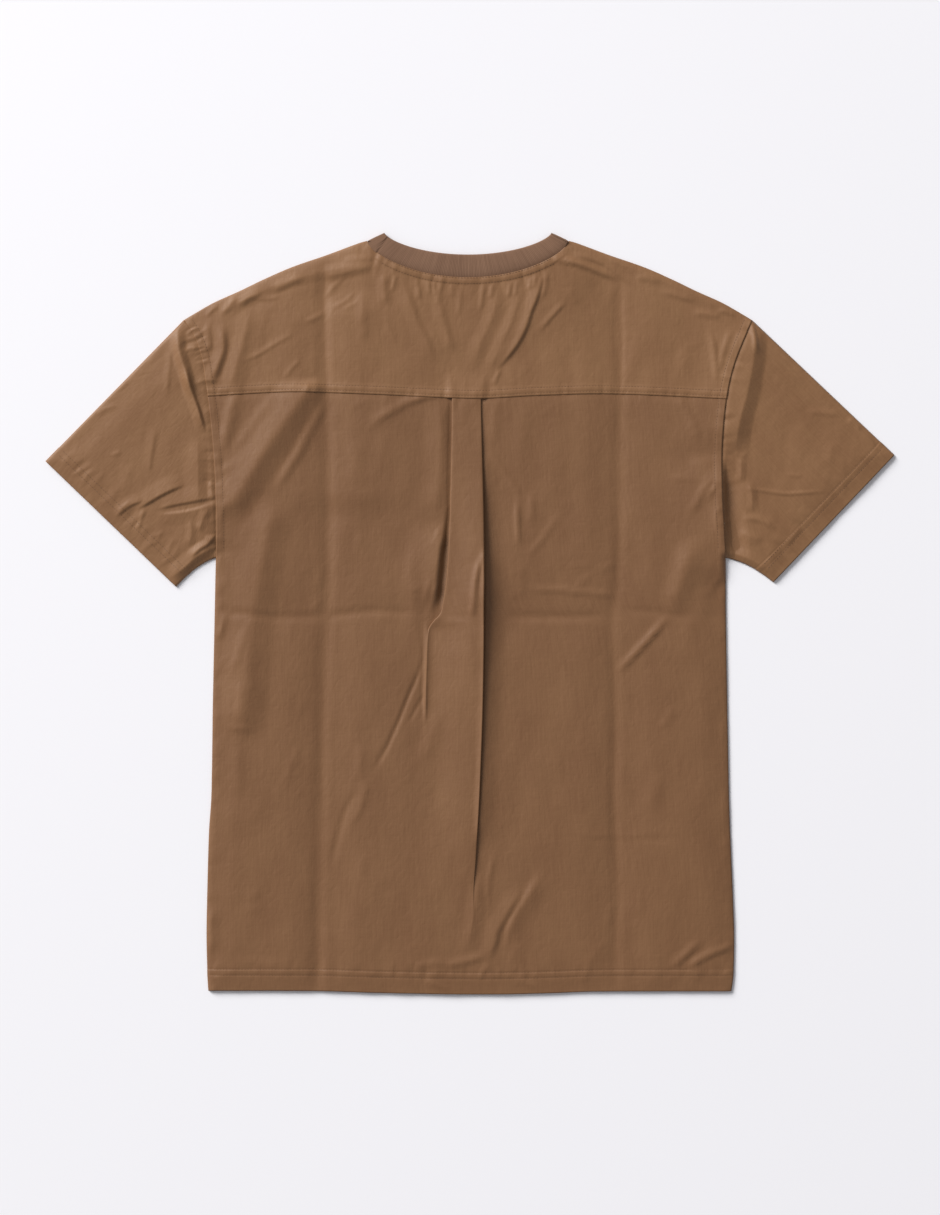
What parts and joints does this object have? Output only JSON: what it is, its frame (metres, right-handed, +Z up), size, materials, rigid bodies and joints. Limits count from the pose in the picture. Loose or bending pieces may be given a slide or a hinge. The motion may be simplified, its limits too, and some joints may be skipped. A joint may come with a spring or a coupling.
{
  "type": "t-shirt",
  "caption": "Short-sleeved t-shirt laid flat, back up: dropped shoulders, rib neckband, back yoke with a box pleat below it, turned hems",
  "frame": {"origin": "on the table, under the middle of the shirt's box", "axes": "+Z up from the table, out of the shirt's back; +Y to the neck; +X to the right as seen from above, along the spread sleeves"},
  "size_m": [0.865, 0.7764, 0.0085],
  "materials": {
    "woven_cloth": "light plain-woven cloth in brown with a low sheen",
    "rib_knit": "fine matt rib knit in brown"
  },
  "bodies": {
    "root": {"front": "woven_cloth", "back": "woven_cloth", "yoke": "woven_cloth", "sleeve_left": "woven_cloth", "sleeve_right": "woven_cloth", "neckband": "rib_knit"}
  },
  "joints": []
}
